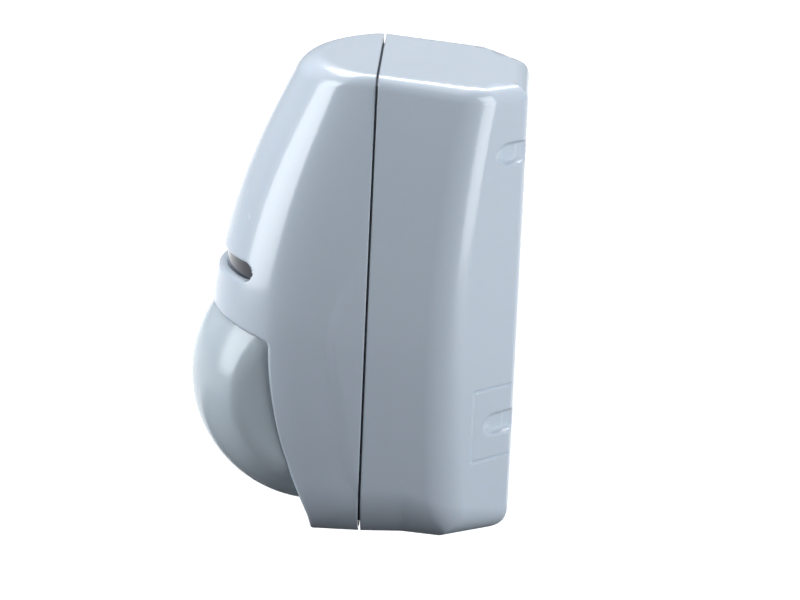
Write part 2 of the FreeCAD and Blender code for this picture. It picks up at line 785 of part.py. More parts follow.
def front_cover():
    outer = cover_form("cover_outside", "0")
    room = cover_form("cover_room", "cover_wall")
    opening = lens_zone("cover_opening", "0", "0", "0")
    lining = lens_zone("cover_lining", "cover_wall", "-(cover_wall)", "0")
    cavity = cut("cover_cavity", room, [lining])
    shell = cut("cover_shell", outer, [cavity, opening])
    rim = cut("rim", rim_form("rim_outside", "base_wall + rim_gap"),
              [rim_form("rim_inside", "base_wall + rim_gap + rim_wall")])
    root = cut("rim_root", rim_root_form("rim_root_outside", "cover_wall/2"),
               [rim_root_form("rim_root_inside", "base_wall + rim_gap + rim_wall")])
    boss = rod("screw_boss", ("0", "-(base_depth + cover_screw_reach)", "-(body_height)/2 + cover_wall/2"),
               "cover_boss_width/2", "cover_boss_height - cover_wall/2")
    post = rod("tamper_post", (TAMPER_X, f"-({TAMPER_TIP})", TAMPER_Z), "tamper_post_width/2",
               "visor_reach", FORWARD)
    post = common("tamper_post_trimmed", [post, outer])
    body = fused("cover_body", [shell, rim, root, boss, post])
    seat = common("lens_seat", [lens_solid("lens_seat_form", "-(lens_gap)"),
                                lens_zone("lens_seat_zone", "cover_wall + over_cut", "0", "0")])
    notch = window_slot("window_slot", "0")
    hole = rod("cover_screw_hole", ("0", "-(base_depth + cover_screw_reach)",
                                    "-(body_height)/2 - over_cut"),
               "cover_screw_width/2 + running_gap", "cover_boss_height + 3*over_cut")
    recess = rod("cover_head_recess", ("0", "-(base_depth + cover_screw_reach)",
                                       "-(body_height)/2 - over_cut"),
                 "cover_head_width/2 + part_gap", "cover_head_height + head_sink + over_cut")
    return node(cut("front_cover_body", body, [seat, notch, hole, recess]), "front_cover")


def rim_form(name, inset):
    """Outline of the cover's locating rim, from inside the cover to just behind the split."""
    body = doc.addObject("PartDesign::Body", name)
    sketch = front_outline(sketch_on(body, name + "_sketch", "XZ_Plane",
                                     "base_depth + split_gap - rim_depth"), inset)
    pad(body, sketch, "rim_depth + rim_root")
    return body


def rim_root_form(name, inset):
    """Outline of the band inside the cover that the locating rim grows from."""
    body = doc.addObject("PartDesign::Body", name)
    sketch = front_outline(sketch_on(body, name + "_sketch", "XZ_Plane", "base_depth + split_gap"), inset)
    pad(body, sketch, "rim_root")
    return body


TAMPER_X = "board_width/2 - tamper_side"
TAMPER_Z = "body_height/2 - tamper_drop"
TAMPER_TIP = "board_reach + switch_height + plunger_travel + running_gap"


# ---------------------------------------------------------------------------------------------
# Lens, its frame, the indicator window and the light guide
# ---------------------------------------------------------------------------------------------
def lens_shell(name, outside, wall):
    return cut(name, lens_solid(name + "_outside", outside),
               [lens_solid(name + "_inside", f"{outside} + {wall}")])


def fresnel_lens():
    zone = lens_zone("lens_zone", "lens_tuck", "lens_gap", "0")
    return node(common("lens_body", [lens_shell("lens_shell", "0", "lens_wall"), zone]), "fresnel_lens")


def lens_frame():
    """Ring inside the lens's edge, from just behind the rim back into the cover."""
    shell = lens_shell("frame_shell", "lens_wall + running_gap", "frame_wall")
    band = cut("frame_band", lens_zone("frame_zone", "frame_depth", "lens_gap + frame_gap", "0"),
               [lens_zone("frame_front", "0", "lens_gap + frame_step", "0")])
    return node(common("frame_body", [shell, band]), "lens_frame")


def indicator_window():
    band = window_arc("window_band", "window_recess", "window_recess + window_wall",
                      "window_height", "window_length")
    return node(common("window_body", [band, window_slot("window_outline", "window_gap")]),
                "indicator_window")


GUIDE_BACK = "board_reach + led_height + guide_gap"


def light_guide():
    """Clear rod from the LED to the back of the window."""
    front = "base_depth + visor_reach - window_recess - window_wall - window_gap"
    stem = rod("guide_stem", ("0", f"-({GUIDE_BACK})", "body_height/2 - window_drop"),
               "guide_width/2", f"{front} - ({GUIDE_BACK})", FORWARD)
    collar = rod("guide_collar", ("0", f"-({GUIDE_BACK} + collar_shift)", "body_height/2 - window_drop"),
                 "guide_width/2 + over_cut", "collar_wall", FORWARD)
    return node(fused("guide_body", [stem, collar]), "light_guide")


# ---------------------------------------------------------------------------------------------
# Circuit board and what stands on it
# ---------------------------------------------------------------------------------------------
def main_board():
    plate = centred_block("board_plate", ("0", "-(board_reach - board_wall/2)", BOARD_MIDDLE),
                          ("board_width", "board_wall", "board_length"))
    holes = [rod(f"board_hole_{index}", ("0", f"-({BOARD_BACK} - over_cut)", level),
                 "board_hole_width/2", "board_wall + 2*over_cut", FORWARD)
             for index, level in enumerate(BOARD_SCREW_HEIGHTS)]
    return node(cut("board_body", plate, holes), "main_board")


def board_screw(name, level):
    """Pan-head screw through the board into its post, with a cross in its head."""
    head = rod(name + "_head", ("0", "-(board_reach)", level), "screw_head_width/2",
               "screw_head_height", FORWARD)
    shank = rod(name + "_shank", ("0", f"-({BOARD_BACK} - screw_length + over_cut)", level),
                "screw_width*0.39", "screw_length - over_cut + board_wall + screw_head_height/2", FORWARD)
    middle = ("0", "-(board_reach + screw_head_height*0.7)", level)
    bars = (("cross_width", "screw_head_width*0.6"), ("screw_head_width*0.6", "cross_width"))
    cross = [centred_block(f"{name}_cross_{index}", middle, (wide, "screw_head_height", tall))
             for index, (wide, tall) in enumerate(bars)]
    return cut(name, fused(name + "_blank", [head, shank]), cross)


def board_screws():
    screws = [board_screw(f"board_screw_{index}", level)
              for index, level in enumerate(BOARD_SCREW_HEIGHTS)]
    return node(grouped("board_screw_pair", screws), "board_screws")


def on_board(name, x, drop, size):
    """Box that stands on the board's front, with its height as the second size."""
    wide, tall, high = size
    return block(name, (f"({x}) - ({wide})/2", f"-(board_reach + ({tall}))",
                        f"body_height/2 - ({drop}) - ({high})/2"), (wide, tall, high))


def rod_on_board(name, x, drop, start, radius, length):
    return rod(name, (x, f"-(board_reach + ({start}))", f"body_height/2 - ({drop})"),
               radius, length, FORWARD)


TOWER_HEIGHT = "lens_reach + base_depth - board_reach - can_height"


def sensor():
    foot = on_board("tower_foot", "0", "lens_drop", ("tower_width + tower_flange", "tower_foot_height",
                                                     "tower_width + tower_flange"))
    column = rod_on_board("tower_column", "0", "lens_drop", "0", "tower_width/2", TOWER_HEIGHT)
    bore = rod_on_board("tower_bore", "0", "lens_drop", "-(over_cut)", "tower_width/2 - tower_wall",
                        f"{TOWER_HEIGHT} + 2*over_cut")
    node(cut("holder_body", fused("holder_blank", [foot, column]), [bore]), "pyro_holder")
    flange = rod_on_board("can_flange", "0", "lens_drop", TOWER_HEIGHT, "flange_width/2", "flange_height")
    can = rod_on_board("can_wall_form", "0", "lens_drop", TOWER_HEIGHT, "can_width/2", "can_height")
    room = rod_on_board("can_room", "0", "lens_drop", f"{TOWER_HEIGHT} + flange_height",
                        "can_width/2 - can_wall", "can_height - flange_height - can_wall")
    gap = f"{TOWER_HEIGHT} + can_height - can_wall - running_gap"
    opening = centred_block("can_opening", ("0", f"-(board_reach + {TOWER_HEIGHT} + can_height)",
                            "body_height/2 - lens_drop"), ("filter_width - filter_lap", "2*over_cut",
                                                           "filter_width - filter_lap"))
    legs = []
    for index in range(3):
        turn = f"{120 * index + 90}deg"
        legs.append(rod(f"can_leg_{index}", (f"leg_circle*cos({turn})", "-(board_reach + leg_start)",
                        f"body_height/2 - lens_drop + leg_circle*sin({turn})"), "leg_radius",
                        f"{TOWER_HEIGHT}", FORWARD))
    node(cut("can_body", fused("can_blank", [flange, can, *legs]), [room, opening]), "pyro_sensor")
    node(centred_block("filter_body", ("0", f"-(board_reach + {gap} - filter_wall/2)",
                       "body_height/2 - lens_drop"), ("filter_width", "filter_wall", "filter_width")),
         "pyro_filter")


WAYS = 8


def terminal_block():
    length = f"way_pitch*{WAYS} + terminal_end"
    case = on_board("terminal_case", "0", "terminal_drop", (length, "terminal_depth", "terminal_height"))
    tools, screws, cages = [], [], []
    for index in range(WAYS):
        x = f"way_pitch*({index} - {(WAYS - 1) / 2})"
        room = on_board(f"way_{index}", x, "terminal_drop - terminal_end/2",
                        ("cage_width + 2*running_gap", "terminal_depth - 2*terminal_end",
                         "terminal_height - terminal_end"))
        place(room, (f"{x} - cage_width/2 - running_gap", "-(board_reach + terminal_depth - terminal_end)",
                     "body_height/2 - terminal_drop - terminal_height/2 + cage_start"))
        well = rod_on_board(f"well_{index}", x, "terminal_drop + 2*running_gap",
                            "terminal_depth - 3*over_cut",
                            "terminal_screw_width/2 + well_gap", "4*over_cut")
        tools += [room, well]
        cage = on_board(f"cage_{index}", x, "terminal_drop + 2*running_gap",
                        ("cage_width", "cage_height", "cage_height"))
        place(cage, (f"{x} - cage_width/2", "-(board_reach + cage_start + cage_height)",
                     "body_height/2 - terminal_drop - cage_height/2 - 2*running_gap"))
        hollow = centred_block(f"cage_hollow_{index}",
                               (x, "-(board_reach + cage_start + cage_height/2 - cage_floor)",
                               "body_height/2 - terminal_drop"),
                               ("cage_width - 2*cage_wall", "cage_height - 6*cage_floor", "2*cage_height"))
        cages.append(cut(f"cage_{index}_body", cage, [hollow]))
        drive = rod_on_board(f"terminal_screw_{index}", x, "terminal_drop + 2*running_gap",
                             "cage_start + cage_height + running_gap/2", "terminal_screw_width/2",
                             "terminal_depth - cage_start - cage_height - terminal_end/2")
        slot = centred_block(f"terminal_screw_slot_{index}",
                             (x, "-(board_reach + terminal_depth - terminal_end/2)",
                              "body_height/2 - terminal_drop - 2*running_gap"),
                             ("terminal_screw_width + over_cut", "over_cut", "cross_width - running_gap"))
        screws.append(cut(f"terminal_screw_{index}_body", drive, [slot]))
    node(cut("terminal_body", case, tools), "terminal_block")
    node(grouped("terminal_screw_row", screws), "terminal_screws")
    node(grouped("terminal_cage_row", cages), "terminal_cages")


def chip(name, x, drop, wide, tall, legs, pitch):
    """Chip with a row of flat legs along each long side."""
    case = on_board(name + "_case", x, drop, (wide, "chip_height", tall))
    pins = []
    for index in range(legs):
        shift = f"{pitch}*({index} - {(legs - 1) / 2})"
        for side in ("1", "-1"):
            pins.append(on_board(f"{name}_leg_{index}_{'r' if side == '1' else 'l'}",
                                 f"({x}) + {side}*(({wide})/2 + leg_reach)", f"({drop}) + {shift}",
                                 ("1.1", "0.3", f"{pitch}*0.45")))
    return node(fused(name + "_body", [case, *pins]), name)


def board_parts():
    node(on_board("relay_case", "-(board_width/2 - relay_width/2 - relay_side)", "relay_drop",
                  ("relay_width", "relay_height", "relay_length")), "relay")
    cans = []
    drop = "capacitor_drop"
    for index, x in enumerate(("-(capacitor_side)", "capacitor_pitch - capacitor_side")):
        blank = rod_on_board(f"capacitor_{index}", x, drop, "0", "capacitor_width/2", "capacitor_height")
        groove = cut(f"capacitor_groove_{index}",
                     rod_on_board(f"capacitor_ring_{index}", x, drop, "1.2", "capacitor_width/2 + over_cut",
                                  "0.6"),
                     [rod_on_board(f"capacitor_core_{index}", x, drop, "over_cut",
                                   "capacitor_width/2 - can_wall", "over_cut")])
        cans.append(cut(f"capacitor_{index}_body", blank, [groove]))
    node(grouped("capacitor_pair", cans), "capacitors")
    chip("microcontroller", "-(board_width/2 - controller_side)", "chip_drop", "controller_width",
         "controller_width", 9, "0.8")
    chip("amplifier", "board_width/2 - amplifier_side", "chip_drop", "4", "8.7", 7, "1.1")
    chip("regulator", "-(board_width/2 - regulator_side)", "regulator_drop", "3.6", "5", 3, "1.5")
    chips = [on_board(f"resistor_{index}", f"board_width/2 - resistor_side + resistor_pitch*{index}",
                      "regulator_drop", ("1.4", "0.6", "2.6"))
             for index in range(4)]
    node(grouped("resistor_row", chips), "resistors")
    base = rod_on_board("led_base", "0", "window_drop", "0", "led_width/2 + part_gap", "over_cut")
    stem = rod_on_board("led_stem", "0", "window_drop", "over_cut/2", "led_width/2",
                        "led_height - over_cut/2 - led_width/2")
    dome = ball("led_dome", ("0", "-(board_reach + led_height - led_width/2)",
                "body_height/2 - window_drop"), "led_width/2")
    node(fused("led_body", [base, stem, dome]), "status_led")


def tamper():
    """Lid switch: a housing, the button that the cover's post presses, and the spring under it."""
    drop = "tamper_drop"
    case = on_board("switch_case", TAMPER_X, drop, ("switch_width", "switch_height", "switch_width"))
    well = rod_on_board("switch_well", TAMPER_X, drop, "well_floor", "plunger_width/2 + running_gap",
                        "switch_height")
    node(cut("switch_body", case, [well]), "tamper_switch")
    tip = "switch_height + plunger_travel"
    stem = rod_on_board("plunger_stem", TAMPER_X, drop, f"{tip} - plunger_length",
                        "plunger_width/2", "plunger_length")
    node(stem, "tamper_plunger")
    low = "(well_floor + spring_end_gap)"
    high = f"{tip} - plunger_length - spring_end_gap"
    coils = 4
    helix = doc.addObject("Part::Helix", "spring_path")
    bind(helix, Pitch=f"({high} - ({low}))/{coils} - spring_end_gap",
         Height=f"{high} - {low} - spring_wire",
         Radius="(spring_width - spring_wire)/2")
    place(helix, (TAMPER_X, f"-(board_reach + {low} + spring_wire/2)", f"body_height/2 - {drop}"), FORWARD)
    doc.recompute()
    start = helix.Shape.Vertexes[0].Point
    wire = doc.addObject("Part::Circle", "spring_section")
    bind(wire, Radius="spring_wire/2")
    wire.Placement = Placement(start, UPRIGHT)
    sweep = doc.addObject("Part::Sweep", "spring_sweep")
    sweep.Sections = [wire]
    sweep.Spine = (helix, ["Edge1"])
    sweep.Solid = True
    sweep.Frenet = True
    node(sweep, "tamper_spring")


def trimmer():
    x, drop = "-(board_width/2 - rotor_side)", "adjuster_drop"
    case = on_board("trimmer_case", x, drop, ("trimmer_width", "trimmer_height", "trimmer_width"))
    well = rod_on_board("trimmer_well", x, drop, "trimmer_height - rotor_well",
                        "rotor_width/2 + running_gap", "rotor_width")
    node(cut("trimmer_case_body", case, [well]), "trimmer_body")
    rotor = rod_on_board("rotor_blank", x, drop, "trimmer_height - rotor_lift", "rotor_width/2",
                         "rotor_height")
    slot = centred_block("rotor_slot", (x, "-(board_reach + trimmer_height + slider_rise)",
                                        f"body_height/2 - {drop}"),
                         ("rotor_width*0.75", "1.2", "cross_width"))
    node(cut("rotor_body", rotor, [slot]), "trimmer_rotor")


def option_switches():
    x, drop = "board_width/2 - options_side", "adjuster_drop"
    case = on_board("options_case", x, drop, ("options_width", "options_height", "options_length"))
    wells, sliders = [], []
    for index in range(3):
        across = f"{x} + slider_pitch*({index} - 1)"
        room = "slider_width + slider_travel + over_cut"
        wells.append(block(f"slider_well_{index}",
                           (f"{across} - slider_width/2 - running_gap",
                            "-(board_reach + options_height + slider_well)",
                            f"body_height/2 - {drop} - ({room})/2"),
                           ("slider_width + 2*running_gap", "slider_well + 1.2", room)))
        slider = block(f"slider_{index + 1}_body",
                       (f"{across} - slider_width/2", "-(board_reach + options_height + slider_rise)",
                        f"body_height/2 - {drop} - slider_travel/2 - slider_width/2"),
                       ("slider_width", "slider_height", "slider_width"))
        sliders.append(node(slider, f"slider_{index + 1}"))
    node(cut("options_body", case, wells), "switch_block")


# ---------------------------------------------------------------------------------------------
# Cover screw
# ---------------------------------------------------------------------------------------------
def cover_fastener():
    y = "-(base_depth + cover_screw_reach)"
    seat = "-(body_height)/2 + cover_head_height + head_sink"
    head = rod("cover_screw_head", ("0", y, "-(body_height)/2 + head_sink"), "cover_head_width/2",
               "cover_head_height")
    shank = rod("cover_screw_shank", ("0", y, f"{seat} - over_cut/2"), "cover_screw_width/2",
                "cover_screw_length + over_cut/2")
    cross = [centred_block(f"cover_screw_cross_{index}",
                           ("0", y, "-(body_height)/2 + head_sink + cross_lift"),
                           (wide, tall, "cross_depth"))
             for index, (wide, tall) in enumerate((("cross_width", "cover_head_width*0.6"),
                                                   ("cover_head_width*0.6", "cross_width")))]
    node(cut("cover_screw_body", fused("cover_screw_blank", [head, shank]), cross), "cover_screw")
    foot = "-(body_height)/2 + cover_boss_height + tongue_gap + tongue_wall + part_gap"
    nut = centred_block("nut_blank", ("0", y, f"{foot} + nut_height/2"),
                        ("nut_width", "nut_width", "nut_height"))
    bore = rod("nut_bore", ("0", y, f"{foot} - over_cut"), "cover_screw_width/2 + thread_gap",
               "nut_height + 2*over_cut")
    node(cut("nut_body", nut, [bore]), "screw_nut")


def main():
    rear_base()
    cover_catch()
    front_cover()
    fresnel_lens()
    lens_frame()
    indicator_window()
    light_guide()
    main_board()
    board_screws()
    sensor()
    terminal_block()
    board_parts()
    tamper()
    trimmer()
    option_switches()
    cover_fastener()
    doc.recompute()
    failed = [thing.Name for thing in doc.Objects if {"Invalid", "Error"} & set(thing.State)]
    failed += [thing.Label for thing in nodes if thing.Shape.isNull() or not thing.Shape.isValid()]
    if failed:
        raise RuntimeError(f"failed: {failed}")
    os.makedirs("parts", exist_ok=True)
    for thing in nodes:
        thing.Shape.exportStep(f"parts/{thing.Label}.step")
        print(f"{thing.Label:20s} {len(thing.Shape.Solids)} solids {thing.Shape.Volume:10.2f} mm3")


main()
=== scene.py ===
import json
import math

import bmesh
import bpy
import numpy as np
from mathutils import Matrix, Vector


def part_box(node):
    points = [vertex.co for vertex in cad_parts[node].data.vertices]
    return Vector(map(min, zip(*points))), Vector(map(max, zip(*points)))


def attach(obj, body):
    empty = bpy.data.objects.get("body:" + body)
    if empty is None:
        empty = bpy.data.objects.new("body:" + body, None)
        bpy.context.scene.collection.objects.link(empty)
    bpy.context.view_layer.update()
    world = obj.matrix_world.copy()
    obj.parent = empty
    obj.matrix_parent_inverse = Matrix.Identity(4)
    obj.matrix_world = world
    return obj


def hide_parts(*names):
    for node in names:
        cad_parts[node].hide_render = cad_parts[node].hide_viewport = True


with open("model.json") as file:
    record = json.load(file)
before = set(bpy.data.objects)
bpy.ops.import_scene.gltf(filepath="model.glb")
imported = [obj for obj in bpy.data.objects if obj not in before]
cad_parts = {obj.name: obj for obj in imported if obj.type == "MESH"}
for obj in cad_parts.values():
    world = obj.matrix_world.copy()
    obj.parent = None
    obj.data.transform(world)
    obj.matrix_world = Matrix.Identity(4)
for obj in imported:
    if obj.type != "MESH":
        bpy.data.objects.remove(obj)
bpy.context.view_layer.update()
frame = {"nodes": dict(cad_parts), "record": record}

MM = 0.001

# ---------------------------------------------------------------------------------------------
# Sizes in millimetres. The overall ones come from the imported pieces.
# ---------------------------------------------------------------------------------------------
BASE_LOW, BASE_HIGH = (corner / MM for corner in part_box("rear_base"))
LENS_LOW, LENS_HIGH = (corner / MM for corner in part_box("fresnel_lens"))
HALF_WIDTH = BASE_HIGH.x
TOP, BOTTOM = BASE_HIGH.z, BASE_LOW.z
SPLIT = -BASE_LOW.y
LENS_SIDE = LENS_HIGH.x
LENS_RADIUS = 32.4
LENS_REACH = -LENS_LOW.y - LENS_RADIUS - SPLIT
LENS_LEVEL = -22.7
SPLIT_GAP = 0.6
BOARD_BACK = -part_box("main_board")[1].y / MM
BOARD_MIDDLE = 0.5
POST_SHIFT = 44.0
POST_RADIUS = 3.5
POST_CHAMFER = 0.3
PILOT_RADIUS = 1.2
PILOT_DEPTH = 8.0
REST_SIDE = 10.6
REST_SHIFT = 23.5
REST_HALF_WIDTH = 0.8
REST_HALF_HEIGHT = 4.0
WALL_HOLE_LEVELS = (38.0, -32.0)
WALL_HOLE_RADIUS = 2.25
CABLE_HOLE_LEVEL = 24.5
CABLE_HOLE_RADIUS = 6.0
LENS_WALL = 1.1
LENS_TUCK = 2.0
LENS_GAP = 0.15
HEAD_RECESS_RADIUS = 2.8
HEAD_RECESS_DEPTH = 2.0
SCREW_HOLE_RADIUS = 1.35
BOSS_RADIUS = 4.5
BOSS_HEIGHT = 4.0
TAMPER_SIDE, TAMPER_LEVEL = 14.0, 20.0
TAMPER_TIP = 42.2
TAMPER_RADIUS = 1.8
SCREW_Y = (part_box("cover_screw")[0].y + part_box("cover_screw")[1].y) / 2 / MM
WALL = 2.2
SIDE_RADIUS = 410.0
WIDEST_LEVEL = -10.0
TOP_CORNER = 3.0
BOTTOM_CORNER = 16.0
REAR_FLAT = 13.6
TOP_SLOPE = math.radians(4.8)
BOTTOM_SLOPE = math.radians(2.2)
SLOT_LEVELS = (40.7, -28.7)
SLOT_HEIGHT = 5.8
SLOT_REACH = 7.0
SLOT_DEPTH = 1.8
SLOT_LEDGE_DEPTH = 2.15
SLOT_LEDGE_REACH = 2.6
BACKING_WALL = 1.6
SCORE_WIDTH = 0.5
SCORE_DEPTH = 0.35
PANEL_TOP = -19.2
PANEL_HEIGHT = 18.3
PANEL_REACH = 9.4
NOTCH_LEVEL = 7.7
NOTCH_HALF_HEIGHT = 2.2
NOTCH_HALF_LENGTH = 20.5
SEAM_TILT = math.radians(12.7)
SEAM_RISE = 14.5
CHEEK_REACH = 12.1
CHEEK_DROP = 3.0
FOOT_REACH = 0.4
FOOT_DROP = 32.2

# How far the flank's front edge and the front's middle line lie ahead of the split, by level.
CREASE_LEVELS = (-62.0, -42.0, -29.0, -16.0, 0.0, 12.0, 26.0, 38.0, 50.0, 62.0)
CREASE_REACHES = (6.0, 9.6, 13.0, 14.5, 14.9, 14.2, 12.1, 9.4, 6.4, 3.4)
FRONT_LEVELS = (-62.0, -42.0, -23.0, -3.0, 4.0, 9.0, 24.0, 40.0, 50.0, 62.0)
FRONT_REACHES = (23.5, 33.0, 38.0, 39.7, 38.9, 37.9, 34.2, 28.4, 23.9, 18.2)


# ---------------------------------------------------------------------------------------------
# Fields: each is below zero inside its form, and about the distance to its surface in millimetres
# ---------------------------------------------------------------------------------------------
def smooth_line(level, levels, values):
    """Smooth curve through a few design points."""
    x, y = np.asarray(levels), np.asarray(values)
    slope = np.gradient(y, x)
    index = np.clip(np.searchsorted(x, level) - 1, 0, len(x) - 2)
    span = x[index + 1] - x[index]
    t = np.clip((level - x[index]) / span, 0.0, 1.0)
    rise = y[index] * (2 * t ** 3 - 3 * t ** 2 + 1) + y[index + 1] * (3 * t ** 2 - 2 * t ** 3)
    return rise + span * (slope[index] * (t ** 3 - 2 * t ** 2 + t) + slope[index + 1] * (t ** 3 - t ** 2))


def both(a, b, radius):
    """Inside a and b, with the edge between them rounded to a radius."""
    corner = np.hypot(np.maximum(a + radius, 0), np.maximum(b + radius, 0))
    return np.minimum(np.maximum(a, b), -radius) + corner


def outline(p):
    x, z = np.abs(p[..., 0]), p[..., 2]
    side = np.hypot(x + SIDE_RADIUS - HALF_WIDTH, z - WIDEST_LEVEL) - SIDE_RADIUS
    return both(both(side, z - TOP, TOP_CORNER), BOTTOM - z, BOTTOM_CORNER)


def front_reach(x, z):
    half = HALF_WIDTH - SIDE_RADIUS + np.sqrt(SIDE_RADIUS ** 2 - (WIDEST_LEVEL - z) ** 2)
    edge = smooth_line(z, CREASE_LEVELS, CREASE_REACHES)
    middle = smooth_line(z, FRONT_LEVELS, FRONT_REACHES)
    rise = middle - edge
    radius = (half ** 2 + rise ** 2) / (2 * rise)
    return middle - radius + np.sqrt(np.maximum(radius ** 2 - np.minimum(np.abs(x), radius * 0.98) ** 2, 0))


def front_face(p):
    x, z = p[..., 0], p[..., 2]
    reach = -p[..., 1] - SPLIT
    step = 0.5
    lean_x = (front_reach(x + step, z) - front_reach(x - step, z)) / (2 * step)
    lean_z = (front_reach(x, z + step) - front_reach(x, z - step)) / (2 * step)
    return (reach - front_reach(x, z)) / np.sqrt(1 + lean_x ** 2 + lean_z ** 2)


def lens_room(p, edge):
    """Room in front of the lens's rim, under the lip."""
    ahead = -p[..., 1] - SPLIT - LENS_REACH
    rise = p[..., 2] - LENS_LEVEL
    under = (rise - SEAM_RISE - (ahead - CHEEK_REACH) * math.tan(SEAM_TILT)) * math.cos(SEAM_TILT)
    lean = math.atan2(CHEEK_REACH - FOOT_REACH, FOOT_DROP - CHEEK_DROP)
    slope = (CHEEK_REACH + (rise + CHEEK_DROP) * math.tan(lean) - ahead) * math.cos(lean)
    cheek = -both(ahead - CHEEK_REACH, -slope, 6.0)
    cheek = both(cheek, FOOT_REACH - ahead, 1.0)
    return both(under, cheek, edge)


def window_room(p, deep):
    """Round-ended slot across the front, down to the indicator window."""
    along = np.maximum(np.abs(p[..., 0]) - NOTCH_HALF_LENGTH + NOTCH_HALF_HEIGHT, 0)
    slot = np.hypot(along, p[..., 2] - NOTCH_LEVEL) - NOTCH_HALF_HEIGHT
    return both(slot, -(front_face(p) + deep), 0.3)


def cover_outside(p):
    body = both(outline(p), front_face(p), 4.0)
    body = both(body, -lens_room(p, 1.0), 0.8)
    return both(body, -window_room(p, 2.4), 0.9)


def cover_inside(p):
    body = both(outline(p), front_face(p), 4.0) + WALL
    moved = p.copy()
    moved[..., 1] -= WALL
    moved[..., 2] -= WALL
    return both(body, -lens_room(moved, 2.0), 0.8)


def base_outside(p):
    x, y, z = np.abs(p[..., 0]), p[..., 1], p[..., 2]
    side = np.hypot(x + SIDE_RADIUS - HALF_WIDTH, z - WIDEST_LEVEL) - SIDE_RADIUS
    chamfer = (x - REAR_FLAT + y) / math.sqrt(2)
    back = both(both(side, chamfer, 4.0), y, 1.2)
    top = (z - TOP) * math.cos(TOP_SLOPE) + (y + SPLIT) * math.sin(TOP_SLOPE)
    bottom = (BOTTOM - z) * math.cos(BOTTOM_SLOPE) + (y + SPLIT) * math.sin(BOTTOM_SLOPE)
    top_edge = TOP_CORNER + 1.0 * np.clip((y + SPLIT) / SPLIT, 0, 1)
    low_edge = BOTTOM_CORNER - 9.5 * np.clip((y + SPLIT * 0.72) / (SPLIT * 0.72), 0, 1)
    return both(both(back, top, top_edge), bottom, low_edge)


def score_lines(p, width):
    """Thin break-out lines round the lower slot."""
    ahead, z = -p[..., 1], p[..., 2]
    foot = PANEL_TOP - PANEL_HEIGHT
    along = np.maximum(ahead - PANEL_REACH, 0)
    inside = np.maximum(np.maximum(foot - z, z - PANEL_TOP), 0)
    level = np.minimum(np.abs(z - PANEL_TOP), np.abs(z - foot))
    across = np.hypot(level, along)
    upright = np.hypot(ahead - PANEL_REACH, inside)
    return np.minimum(across, upright) - width / 2


def slots(p):
    """The pockets in the chamfers, rounded at their front ends."""
    ahead, z = -p[..., 1], p[..., 2]
    past = np.maximum(ahead - SLOT_REACH + SLOT_HEIGHT / 2, 0)
    return np.minimum(*[np.hypot(past, z - level) for level in SLOT_LEVELS]) - SLOT_HEIGHT / 2


def chamfer_face(p):
    return (np.abs(p[..., 0]) - REAR_FLAT + p[..., 1]) / math.sqrt(2)


def base_skin(p):
    body = base_outside(p)
    pocket = both(slots(p) + 0.25, -(chamfer_face(p) + SLOT_DEPTH), 1.1)
    ledge = both(both(slots(p) + 0.9, -p[..., 1] - SLOT_LEDGE_REACH, 0.2),
                 -(chamfer_face(p) + SLOT_LEDGE_DEPTH), 0.2)
    body = both(body, -pocket, 0.6)
    body = both(body, -ledge, 0.1)
    return both(body, -both(score_lines(p, SCORE_WIDTH), -(chamfer_face(p) + SCORE_DEPTH), 0.05), 0.12)


def base_inside(p):
    return base_outside(p) + WALL


def base_lining(p):
    """The base's inner face, thicker behind the slots."""
    backing = both(slots(p) - BACKING_WALL, -(chamfer_face(p) + SLOT_DEPTH + BACKING_WALL), 0.5)
    return both(base_inside(p), -backing, 0.4)


def lens_outside(p):
    ball = np.linalg.norm(p - np.array((0.0, -SPLIT - LENS_REACH, LENS_LEVEL)), axis=-1) - LENS_RADIUS
    return both(ball, np.abs(p[..., 0]) - LENS_SIDE, 1.6)


# ---------------------------------------------------------------------------------------------
# Meshes cast from a spine onto a field
# ---------------------------------------------------------------------------------------------
def cast(field, starts, ways, reach=95.0, coarse=48, fine=26):
    """The first point where each ray leaves the form."""
    low = np.zeros(len(starts))
    high = np.full(len(starts), reach)
    found = np.zeros(len(starts), bool)
    for step in np.linspace(0, reach, coarse)[1:]:
        out = field(starts + ways * step) > 0
        low = np.where(~found & ~out, step, low)
        high = np.where(~found & out, step, high)
        found |= out
    for _ in range(fine):
        middle = (low + high) / 2
        out = field(starts + ways * middle[:, None]) > 0
        high = np.where(out, middle, high)
        low = np.where(out, low, middle)
    return starts + ways * ((low + high) / 2)[:, None]


def spine_rays(levels, turns, foot, fan, plane, forward):
    """Rays from an upright spine in the split, with a fan of them at each end."""
    sign = -1.0 if forward else 1.0
    low, high = levels[0], levels[-1]
    starts, ways = [], []
    tilts = [(low, t) for t in np.linspace(-math.pi / 2, 0, fan)[:-1]]
    tilts += [(z, 0.0) for z in levels]
    tilts += [(high, t) for t in np.linspace(0, math.pi / 2, foot)[1:]]
    for z, tilt in tilts:
        for turn in turns:
            starts.append((0.0, plane, z))
            flat = math.cos(tilt)
            ways.append((math.cos(turn) * flat, sign * math.sin(turn) * flat, math.sin(tilt)))
    return np.array(starts), np.array(ways), len(tilts)


def filled(bands, low, high, step):
    """Close-set bands of values, with wider steps between them from low to high."""
    values = [low, high] + [v for band in bands for v in band if low < v < high]
    marks = np.unique(np.round(values, 6))
    spans = []
    for a, b in zip(marks[:-1], marks[1:]):
        count = max(1, math.ceil((b - a) / step))
        spans.append(np.linspace(a, b, count + 1)[:-1])
    return np.append(np.concatenate(spans), high)


def quads(rows, columns, offset=0, flip=False):
    faces = []
    for r in range(rows - 1):
        for c in range(columns - 1):
            a = offset + r * columns + c
            face = (a, a + 1, a + columns + 1, a + columns)
            faces.append(face[::-1] if flip else face)
    return faces


